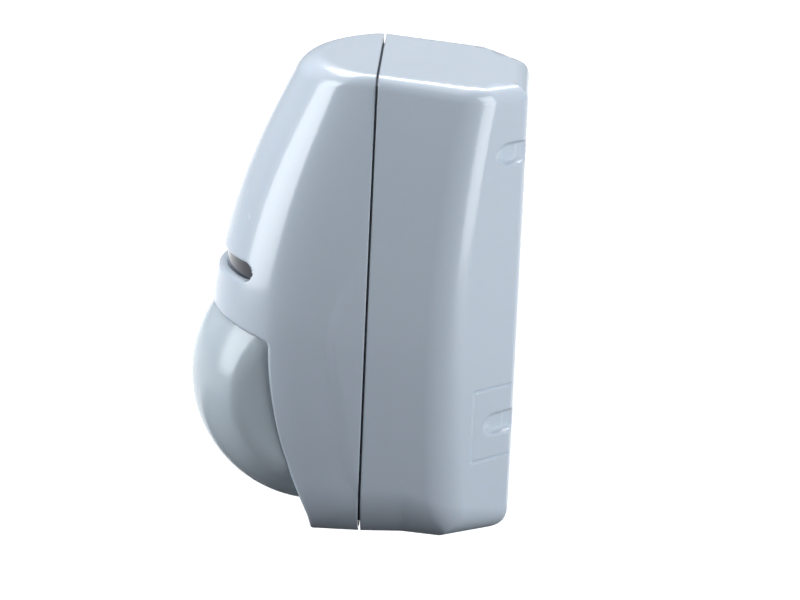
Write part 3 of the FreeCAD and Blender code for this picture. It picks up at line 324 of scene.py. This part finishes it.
def make_object(name, points, faces):
    mesh = bpy.data.meshes.new(name)
    mesh.from_pydata([tuple(v) for v in np.asarray(points) * MM], [], faces)
    work = bmesh.new()
    work.from_mesh(mesh)
    bmesh.ops.remove_doubles(work, verts=work.verts, dist=0.00001)
    bmesh.ops.dissolve_degenerate(work, edges=work.edges, dist=0.000002)
    bmesh.ops.recalc_face_normals(work, faces=work.faces)
    work.to_mesh(mesh)
    work.free()
    mesh.shade_smooth()
    piece = bpy.data.objects.new(name, mesh)
    bpy.context.scene.collection.objects.link(piece)
    return piece


def shell(name, outside, inside, levels, turns, plane, forward):
    """A moulded half: an outer skin, an inner skin, and the rim that joins them in the split."""
    starts, ways, rows = spine_rays(levels, turns, 80, 80, plane, forward)
    outer = cast(outside, starts, ways)
    inner = cast(inside, starts, ways)
    count = len(outer)
    columns = len(turns)
    faces = quads(rows, columns) + quads(rows, columns, count, True)
    for column in (0, columns - 1):
        for r in range(rows - 1):
            a, b = r * columns + column, (r + 1) * columns + column
            faces.append((a, b, b + count, a + count))
    return make_object(name, np.vstack([outer, inner]), faces)


def join(name, pieces):
    """One object from several, each kept as a closed form."""
    mesh = bpy.data.meshes.new(name)
    work = bmesh.new()
    for piece in pieces:
        part = piece.data.copy()
        part.transform(piece.matrix_world)
        work.from_mesh(part)
    work.to_mesh(mesh)
    work.free()
    joined = bpy.data.objects.new(name, mesh)
    bpy.context.scene.collection.objects.link(joined)
    for piece in pieces:
        bpy.data.objects.remove(piece)
    return joined


def apply_modifiers(piece):
    bpy.context.view_layer.update()
    depsgraph = bpy.context.evaluated_depsgraph_get()
    mesh = bpy.data.meshes.new_from_object(piece.evaluated_get(depsgraph))
    piece.modifiers.clear()
    piece.data = mesh
    return piece


def carve(piece, tool):
    change = piece.modifiers.new("carve", "BOOLEAN")
    change.operation = "DIFFERENCE"
    change.solver = "EXACT"
    change.object = tool
    apply_modifiers(piece)
    bpy.data.objects.remove(tool)
    return piece


def prism(name, profile, axis, low, high):
    """Closed form with a flat profile, from low to high along an axis.

    The profile's pairs are the other two axes in order.
    """
    count = len(profile)
    points = []
    for end in (low, high):
        for u, v in profile:
            point = [u, v]
            point.insert(axis, end)
            points.append(point)
    faces = [tuple(range(count))[::-1], tuple(range(count, 2 * count))]
    faces += [(i, (i + 1) % count, (i + 1) % count + count, i + count) for i in range(count)]
    return make_object(name, points, faces)


def turned(name, profile, centre, axis, count=64, caps=True):
    """Solid of revolution from (radius, height) pairs, about an axis through a centre."""
    points, faces = [], []
    for radius, height in profile:
        for i in range(count):
            turn = 2 * math.pi * i / count
            local = [radius * math.cos(turn), radius * math.sin(turn)]
            local.insert(axis, height)
            points.append([centre[k] + local[k] for k in range(3)])
    for r in range(len(profile) - 1):
        for i in range(count):
            a, b = r * count + i, r * count + (i + 1) % count
            faces.append((a, b, b + count, a + count))
    if caps:
        faces.append(tuple(range(count)))
        faces.append(tuple(range((len(profile) - 1) * count, len(profile) * count)))
    return make_object(name, points, faces)


def band(name, outer, inner, low, high, count=400):
    """Upright band that follows the housing's outline, between two insets and two depths."""
    turns = np.linspace(0, 2 * math.pi, count, endpoint=False)
    ways = np.stack([np.cos(turns), np.zeros(count), np.sin(turns)], axis=1)
    loops = []
    for inset, depth in ((outer, low), (outer, high), (inner, high), (inner, low)):
        starts = np.zeros((count, 3))
        starts[:, 1] = depth
        loops.append(cast(lambda p: outline(p) + inset, starts, ways))
    faces = []
    for k in range(4):
        for i in range(count):
            a, b = k * count + i, k * count + (i + 1) % count
            over = ((k + 1) % 4 - k) * count
            faces.append((a, b, b + over, a + over))
    return make_object(name, np.vstack(loops), faces)


def shade_by_field(piece, fields, near=0.02, sharp=32.0):
    """Exact normals where a vertex lies on a field, and smooth ones by angle elsewhere."""
    mesh = piece.data
    mesh.shade_smooth()
    mesh.set_sharp_from_angle(angle=math.radians(sharp))
    count = len(mesh.vertices)
    points = np.empty(count * 3)
    mesh.vertices.foreach_get("co", points)
    points = points.reshape(-1, 3) / MM
    normals = np.zeros((count, 3))
    for field in fields:
        on = np.abs(field(points)) < near
        slope = np.zeros((on.sum(), 3))
        for axis in range(3):
            step = np.zeros(3)
            step[axis] = 0.05
            slope[:, axis] = field(points[on] + step) - field(points[on] - step)
        length = np.linalg.norm(slope, axis=1, keepdims=True)
        normals[on] = slope / np.maximum(length, 1e-9)
    loops = np.empty(len(mesh.loops), np.int64)
    mesh.loops.foreach_get("vertex_index", loops)
    custom = normals[loops]
    sizes = np.empty(len(mesh.polygons), np.int64)
    mesh.polygons.foreach_get("loop_total", sizes)
    flat = np.empty(len(mesh.polygons) * 3)
    mesh.polygons.foreach_get("normal", flat)
    flat = np.repeat(flat.reshape(-1, 3), sizes, axis=0)
    agree = (custom * flat).sum(1)
    custom[np.abs(agree) < 0.8] = 0
    custom[agree < 0] *= -1
    mesh.normals_split_custom_set([tuple(v) for v in custom])
    return piece


# ---------------------------------------------------------------------------------------------
# Materials
# ---------------------------------------------------------------------------------------------
def nodes_of(name, colour, roughness, **sockets):
    material = bpy.data.materials.new(name)
    material.use_nodes = True
    tree = material.node_tree
    shader = tree.nodes["Principled BSDF"]
    shader.inputs["Base Color"].default_value = (*colour, 1)
    shader.inputs["Roughness"].default_value = roughness
    for socket, value in sockets.items():
        shader.inputs[socket.replace("_", " ")].default_value = value
    return material, tree, shader


def add(tree, kind, **values):
    node = tree.nodes.new(kind)
    for key, value in values.items():
        if key in node.inputs:
            node.inputs[key].default_value = value
        else:
            setattr(node, key, value)
    return node


def moulded(name, colour, roughness, grain=0.00006, scale=2600.0, edge=0.0, spread=0.04, **sockets):
    """Moulded plastic: faint flow marks in its colour, a fine skin, uneven gloss and softened edges."""
    material, tree, shader = nodes_of(name, colour, roughness, **sockets)
    link = tree.links.new
    place = add(tree, "ShaderNodeTexCoord")
    flow = add(tree, "ShaderNodeTexNoise", Scale=38.0, Detail=3.0, Roughness=0.5)
    skin = add(tree, "ShaderNodeTexNoise", Scale=scale, Detail=2.0, Roughness=0.6)
    link(place.outputs["Object"], flow.inputs["Vector"])
    link(place.outputs["Object"], skin.inputs["Vector"])
    tone = add(tree, "ShaderNodeMix", data_type="RGBA")
    tone.inputs[6].default_value = (*[c * (1 - spread) for c in colour], 1)
    tone.inputs[7].default_value = (*[min(c * (1 + spread), 1) for c in colour], 1)
    link(flow.outputs["Fac"], tone.inputs[0])
    link(tone.outputs[2], shader.inputs["Base Color"])
    gloss = add(tree, "ShaderNodeMapRange")
    gloss.inputs["To Min"].default_value = roughness * 0.8
    gloss.inputs["To Max"].default_value = roughness * 1.25
    link(flow.outputs["Fac"], gloss.inputs["Value"])
    link(gloss.outputs["Result"], shader.inputs["Roughness"])
    bump = add(tree, "ShaderNodeBump", Strength=0.35, Distance=grain)
    link(skin.outputs["Fac"], bump.inputs["Height"])
    if edge:
        soft = add(tree, "ShaderNodeBevel", Radius=edge)
        soft.samples = 6
        link(soft.outputs["Normal"], bump.inputs["Normal"])
    link(bump.outputs["Normal"], shader.inputs["Normal"])
    return material


def metal(name, colour, roughness, scale=900.0):
    """Plated or drawn metal with fine scratches."""
    material, tree, shader = nodes_of(name, colour, roughness, Metallic=1.0)
    link = tree.links.new
    place = add(tree, "ShaderNodeTexCoord")
    stretch = add(tree, "ShaderNodeMapping")
    stretch.inputs["Scale"].default_value = (1.0, 1.0, 0.12)
    marks = add(tree, "ShaderNodeTexNoise", Scale=scale, Detail=4.0, Roughness=0.7)
    link(place.outputs["Object"], stretch.inputs["Vector"])
    link(stretch.outputs["Vector"], marks.inputs["Vector"])
    gloss = add(tree, "ShaderNodeMapRange")
    gloss.inputs["To Min"].default_value = roughness * 0.6
    gloss.inputs["To Max"].default_value = roughness * 1.5
    link(marks.outputs["Fac"], gloss.inputs["Value"])
    link(gloss.outputs["Result"], shader.inputs["Roughness"])
    tone = add(tree, "ShaderNodeMix", data_type="RGBA")
    tone.inputs[6].default_value = (*[c * 0.82 for c in colour], 1)
    tone.inputs[7].default_value = (*colour, 1)
    link(marks.outputs["Fac"], tone.inputs[0])
    link(tone.outputs[2], shader.inputs["Base Color"])
    bump = add(tree, "ShaderNodeBump", Strength=0.25, Distance=0.00002)
    link(marks.outputs["Fac"], bump.inputs["Height"])
    link(bump.outputs["Normal"], shader.inputs["Normal"])
    return material


def circuit_board():
    """Green solder mask: copper tracks show through it as a grid of lighter lines."""
    mask = (0.012, 0.11, 0.04)
    material, tree, shader = nodes_of("circuit_board", mask, 0.32)
    link = tree.links.new
    place = add(tree, "ShaderNodeTexCoord")
    tracks = add(tree, "ShaderNodeTexBrick")
    tracks.inputs["Scale"].default_value = 210.0
    tracks.inputs["Mortar Size"].default_value = 0.035
    tracks.inputs["Color1"].default_value = (0, 0, 0, 1)
    tracks.inputs["Color2"].default_value = (0.2, 0.2, 0.2, 1)
    tracks.inputs["Mortar"].default_value = (1, 1, 1, 1)
    turn = add(tree, "ShaderNodeMapping")
    turn.inputs["Rotation"].default_value = (math.pi / 2, 0, 0)
    link(place.outputs["Object"], turn.inputs["Vector"])
    link(turn.outputs["Vector"], tracks.inputs["Vector"])
    tone = add(tree, "ShaderNodeMix", data_type="RGBA")
    tone.inputs[6].default_value = (*mask, 1)
    tone.inputs[7].default_value = (0.03, 0.22, 0.07, 1)
    link(tracks.outputs["Color"], tone.inputs[0])
    link(tone.outputs[2], shader.inputs["Base Color"])
    bump = add(tree, "ShaderNodeBump", Strength=0.4, Distance=0.00004)
    link(tracks.outputs["Color"], bump.inputs["Height"])
    link(bump.outputs["Normal"], shader.inputs["Normal"])
    return material


def lens_plastic():
    """Milky polyethylene that lets some light through, a little bluer than the housing."""
    material = moulded("lens_skin", (0.62, 0.72, 0.82), 0.2, grain=0.00003, scale=1800.0, edge=0.0008,
                       spread=0.03, Subsurface_Weight=0.5, Subsurface_Scale=0.004,
                       Transmission_Weight=0.12, IOR=1.5)
    material.node_tree.nodes["Principled BSDF"].inputs["Subsurface Radius"].default_value = (0.8, 1.0, 1.2)
    return material


def smoked_window():
    return moulded("smoked_window", (0.010, 0.014, 0.028), 0.07, grain=0.00001, scale=900.0, spread=0.2,
                   Coat_Weight=0.6, Coat_Roughness=0.03)


def clear_plastic():
    return moulded("clear_plastic", (0.93, 0.95, 0.96), 0.06, grain=0.00001,
                   Transmission_Weight=0.95, IOR=1.49)


WHITE = (0.60, 0.665, 0.745)
FINISHES = {
    "white_abs": lambda: moulded("white_abs", WHITE, 0.22, grain=0.00003, scale=2400.0, edge=0.0007,
                                 spread=0.015, Subsurface_Weight=0.08, Subsurface_Scale=0.002,
                                 Coat_Weight=0.35, Coat_Roughness=0.08),
    "lens_pe": lens_plastic,
    "frame_plastic": lambda: moulded("frame_plastic", (0.66, 0.69, 0.73), 0.4, edge=0.0002),
    "smoked_window": smoked_window,
    "clear_plastic": clear_plastic,
    "circuit_board": circuit_board,
    "screw_steel": lambda: metal("screw_steel", (0.72, 0.72, 0.70), 0.28),
    "black_plastic": lambda: moulded("black_plastic", (0.018, 0.018, 0.02), 0.42, grain=0.0001,
                                     edge=0.0002),
    "can_metal": lambda: metal("can_metal", (0.72, 0.69, 0.62), 0.24),
    "dark_silicon": lambda: moulded("dark_silicon", (0.05, 0.045, 0.07), 0.08, grain=0.00001,
                                    Coat_Weight=0.5),
    "green_plastic": lambda: moulded("green_plastic", (0.02, 0.19, 0.06), 0.36, edge=0.0002),
    "contact_metal": lambda: metal("contact_metal", (0.70, 0.60, 0.36), 0.3),
    "relay_plastic": lambda: moulded("relay_plastic", (0.62, 0.62, 0.58), 0.36, edge=0.0003),
    "capacitor_can": lambda: moulded("capacitor_can", (0.02, 0.026, 0.06), 0.3, edge=0.0003),
    "chip_plastic": lambda: moulded("chip_plastic", (0.016, 0.016, 0.018), 0.5, grain=0.0001, edge=0.0001),
    "led_plastic": lambda: moulded("led_plastic", (0.55, 0.03, 0.025), 0.12, Transmission_Weight=0.5),
    "spring_steel": lambda: metal("spring_steel", (0.62, 0.62, 0.62), 0.25),
    "white_button": lambda: moulded("white_button", (0.72, 0.72, 0.69), 0.34, edge=0.0002),
    "trimmer_blue": lambda: moulded("trimmer_blue", (0.02, 0.10, 0.42), 0.34, edge=0.0002),
    "switch_red": lambda: moulded("switch_red", (0.42, 0.02, 0.02), 0.36, edge=0.0002),
}
finish = {slot: make() for slot, make in FINISHES.items()}


def dress(piece, slot, body=None):
    piece.data.materials.clear()
    piece.data.materials.append(finish[slot])
    if body:
        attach(piece, body)
    return piece


# ---------------------------------------------------------------------------------------------
# Rear base
# ---------------------------------------------------------------------------------------------
def rear_base():
    foot = PANEL_TOP - PANEL_HEIGHT
    bands = []
    for level in (PANEL_TOP, foot):
        bands.append(np.linspace(level - 0.42, level + 0.42, 13))
    for level in SLOT_LEVELS:
        bands.append(np.linspace(level - SLOT_HEIGHT / 2 - 0.7, level + SLOT_HEIGHT / 2 + 0.7, 44))
    levels = filled(bands, BOTTOM + 17.0, TOP - 6.0, 1.3)
    corner = REAR_FLAT + PANEL_REACH
    line = math.atan2(SPLIT - PANEL_REACH, corner)
    spread = 0.42 / math.hypot(SPLIT - PANEL_REACH, corner)
    rear = math.atan2(SPLIT, REAR_FLAT)
    near = [np.linspace(line - spread, line + spread, 11), np.linspace(line + 0.03, rear + 0.02, 46)]
    right = filled(near, 0.0, math.pi / 2, 0.024)
    turns = np.concatenate([right, math.pi - right[-2::-1]])
    skin = shell("rear_skin", base_skin, base_lining, levels, turns, -SPLIT, False)
    tools = []
    for level in WALL_HOLE_LEVELS:
        profile = [(WALL_HOLE_RADIUS, -WALL - 1), (WALL_HOLE_RADIUS, 1.0)]
        tools.append(turned("hole_tool", profile, (0, 0, level), 1))
    profile = [(CABLE_HOLE_RADIUS, -WALL - 1), (CABLE_HOLE_RADIUS, 1.0)]
    tools.append(turned("cable_tool", profile, (0, 0, CABLE_HOLE_LEVEL), 1))
    carve(skin, join("base_tools", tools))
    parts = [skin]
    start = -WALL / 2
    post = [(POST_RADIUS, start), (POST_RADIUS, POST_CHAMFER - BOARD_BACK),
            (POST_RADIUS - POST_CHAMFER, -BOARD_BACK), (PILOT_RADIUS, -BOARD_BACK),
            (PILOT_RADIUS, PILOT_DEPTH - BOARD_BACK)]
    for end in (1, -1):
        parts.append(turned("post", post, (0, 0, BOARD_MIDDLE + end * POST_SHIFT), 1))
        z = BOARD_MIDDLE + end * REST_SHIFT
        for x in (-REST_SIDE, REST_SIDE):
            corners = [(x + u * REST_HALF_WIDTH, z + v * REST_HALF_HEIGHT)
                       for u, v in ((-1, -1), (1, -1), (1, 1), (-1, 1))]
            parts.append(prism("rest", corners, 1, -BOARD_BACK, start))
    piece = join("rear_shell", parts)
    shade_by_field(piece, (base_skin, base_lining))
    dress(piece, "white_abs", "base")
    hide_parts("rear_base")


# ---------------------------------------------------------------------------------------------
# Front cover
# ---------------------------------------------------------------------------------------------
def lens_form(name, grow):
    """The lens's own ball with flat sides, larger by a gap."""
    centre = np.array((0.0, -SPLIT - LENS_REACH, LENS_LEVEL))
    rows, columns = 96, 192
    ways = []
    for r in range(rows + 1):
        tilt = math.pi * r / rows
        for c in range(columns):
            turn = 2 * math.pi * c / columns
            ways.append((math.cos(tilt), math.sin(tilt) * math.cos(turn), math.sin(tilt) * math.sin(turn)))
    ways = np.array(ways)
    points = cast(lambda p: lens_outside(p) - grow, np.repeat(centre[None], len(ways), 0), ways)
    faces = []
    for r in range(rows):
        for c in range(columns):
            a, b = r * columns + c, r * columns + (c + 1) % columns
            faces.append((a, b, b + columns, a + columns))
    return make_object(name, points, faces)


def front_cover():
    seam = np.linspace(-9.5, -3.0, 60)
    notch = np.linspace(4.6, 10.8, 56)
    levels = filled([seam, notch], BOTTOM + 17.0, TOP - 8.0, 0.6)
    turns = np.linspace(0, math.pi, 240)
    skin = shell("cover_skin", cover_outside, cover_inside, levels, turns, -SPLIT - SPLIT_GAP, True)
    carve(skin, lens_form("lens_tool", LENS_GAP))
    spot = (0, SCREW_Y, BOTTOM)
    recess = [(HEAD_RECESS_RADIUS, -1.0), (HEAD_RECESS_RADIUS, HEAD_RECESS_DEPTH),
              (SCREW_HOLE_RADIUS, HEAD_RECESS_DEPTH), (SCREW_HOLE_RADIUS, BOSS_HEIGHT + 2.0)]
    carve(skin, turned("screw_tool", recess, spot, 2))
    boss = [(SCREW_HOLE_RADIUS, HEAD_RECESS_DEPTH), (BOSS_RADIUS, HEAD_RECESS_DEPTH),
            (BOSS_RADIUS, BOSS_HEIGHT), (SCREW_HOLE_RADIUS, BOSS_HEIGHT),
            (SCREW_HOLE_RADIUS, HEAD_RECESS_DEPTH)]
    front = -SPLIT - float(front_reach(TAMPER_SIDE, TAMPER_LEVEL)) + 1.2
    post = [(TAMPER_RADIUS - 0.3, -TAMPER_TIP), (TAMPER_RADIUS, -TAMPER_TIP - 0.3),
            (TAMPER_RADIUS, front)]
    parts = [skin,
             band("rim", 2.45, 3.65, -SPLIT + 0.9, -SPLIT - 2.1),
             band("rim_root", 1.1, 3.65, -SPLIT - 0.6, -SPLIT - 2.1),
             turned("boss", boss, spot, 2, caps=False),
             turned("tamper_post", post, (TAMPER_SIDE, 0, TAMPER_LEVEL), 1)]
    piece = join("cover_shell", parts)
    shade_by_field(piece, (cover_outside, cover_inside))
    dress(piece, "white_abs", "cover")
    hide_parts("front_cover")


def fresnel_lens():
    """The part of the ball in front of the lens's rim, as an outer skin, an inner skin and its edge."""
    piece = lens_form("lens_dome", 0.0)
    carve(piece, lens_form("lens_hollow", -LENS_WALL))
    low, high = LENS_LEVEL - 45.0, LENS_LEVEL + 45.0
    levels = np.linspace(low, high, 220)
    across = np.linspace(-40.0, 40.0, 3)
    back = []
    for z in levels:
        line = -SPLIT - LENS_REACH + 40.0
        spot = np.array([[0.0, line - step, z] for step in np.linspace(0, 90, 900)])
        moved = spot + np.array((0.0, -LENS_TUCK, LENS_GAP))
        inside = np.flatnonzero(lens_room(moved, 0.0) < 0)
        back.append(spot[inside[0]][1] if len(inside) else spot[-1][1])
    points, faces = [], []
    for x in across:
        points += [(x, y, z) for y, z in zip(back, levels)]
    for x in across:
        points += [(x, 60.0, z) for z in levels]
    count, half = len(levels), len(levels) * len(across)
    for c in range(len(across) - 1):
        for r in range(count - 1):
            a = c * count + r
            faces.append((a, a + 1, a + count + 1, a + count))
            faces.append((a + half, a + count + half, a + count + 1 + half, a + 1 + half))
    for c in (0, len(across) - 1):
        for r in range(count - 1):
            a = c * count + r
            faces.append((a, a + 1, a + 1 + half, a + half))
    for r in (0, count - 1):
        for c in range(len(across) - 1):
            a = c * count + r
            faces.append((a, a + count, a + count + half, a + half))
    carve(piece, make_object("rim_tool", points, faces))
    shade_by_field(piece, (lens_outside, lambda p: lens_outside(p) + LENS_WALL))
    dress(piece, "lens_pe", "cover")
    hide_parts("fresnel_lens")


rear_base()
front_cover()
fresnel_lens()

# ---------------------------------------------------------------------------------------------
# CAD pieces that show as they are
# ---------------------------------------------------------------------------------------------
for row in frame["record"]["subparts"]:
    node = frame["nodes"][row["node"]]
    if not node.hide_render:
        node.data.materials.clear()
        node.data.materials.append(finish[row["material_slot"]])


# ---------------------------------------------------------------------------------------------
# Floor, light and camera
# ---------------------------------------------------------------------------------------------
def sheet(name, left, front, right, rear, level):
    corners = [(left, front, level), (right, front, level), (right, rear, level), (left, rear, level)]
    return make_object(name, corners, [(0, 1, 2, 3)])


def stage():
    """Pale floor, a dim sky, and a dark card that darkens the underside.

    The camera doesn't see the card, but a view from behind does.
    """
    floor = sheet("floor", -6000, -6000, 6000, 6000, -420)
    floor.data.materials.append(moulded("floor_paint", (0.93, 0.94, 0.95), 0.7, scale=30.0, spread=0.005))
    card = sheet("dark_card", -350, -700, 900, 700, -250)
    card.data.materials.append(moulded("card_felt", (0.012, 0.013, 0.016), 0.9, grain=0.0003, scale=400.0))
    world = bpy.data.worlds.new("studio")
    world.use_nodes = True
    world.node_tree.nodes["Background"].inputs["Color"].default_value = (0.86, 0.92, 1.0, 1)
    world.node_tree.nodes["Background"].inputs["Strength"].default_value = 0.16
    bpy.context.scene.world = world
    bpy.context.scene.view_settings.view_transform = "Standard"


def lamp(name, spot, aim, size, power, colour=(1, 1, 1)):
    data = bpy.data.lights.new(name, "AREA")
    data.shape = "RECTANGLE"
    data.size, data.size_y = size
    data.energy = power
    data.color = colour
    light = bpy.data.objects.new(name, data)
    bpy.context.scene.collection.objects.link(light)
    light.location = spot
    light.rotation_mode = "QUATERNION"
    light.rotation_quaternion = (Vector(spot) - Vector(aim)).to_track_quat("Z", "Y")
    return light


def camera():
    azimuth, elevation, roll = math.radians(91.6), math.radians(16.8), math.radians(2.5)
    back = Vector((math.sin(azimuth) * math.cos(elevation), -math.cos(azimuth) * math.cos(elevation),
                   math.sin(elevation)))
    right = Vector((math.cos(azimuth), math.sin(azimuth), 0))
    up = back.cross(right)
    side = right * math.cos(roll) + up * math.sin(roll)
    data = bpy.data.cameras.new("camera")
    data.sensor_width = 36
    data.lens = 225
    eye = bpy.data.objects.new("camera", data)
    bpy.context.scene.collection.objects.link(eye)
    place = Matrix((side, back.cross(side), back)).transposed().to_4x4()
    place.translation = Vector((0, -0.0296, -0.0032)) + back * 1.2538
    eye.matrix_world = place
    data.clip_start, data.clip_end = 0.05, 60
    bpy.context.scene.camera = eye


stage()
lamp("front_box", (0.10, -0.85, 0.28), (0, -0.04, 0), (0.5, 0.8), 7.4, (0.93, 0.97, 1.0))
lamp("top_box", (-0.1, 0.05, 0.95), (0, -0.02, 0), (0.8, 0.8), 1.7, (0.95, 0.98, 1.0))
lamp("rear_box", (0.35, 0.80, 0.20), (0, -0.02, 0), (0.5, 0.9), 7.4, (0.93, 0.97, 1.0))
lamp("background", (-1.9, -0.1, 2.2), (-1.9, -0.1, -0.42), (1.8, 2.8), 105.0)
camera()
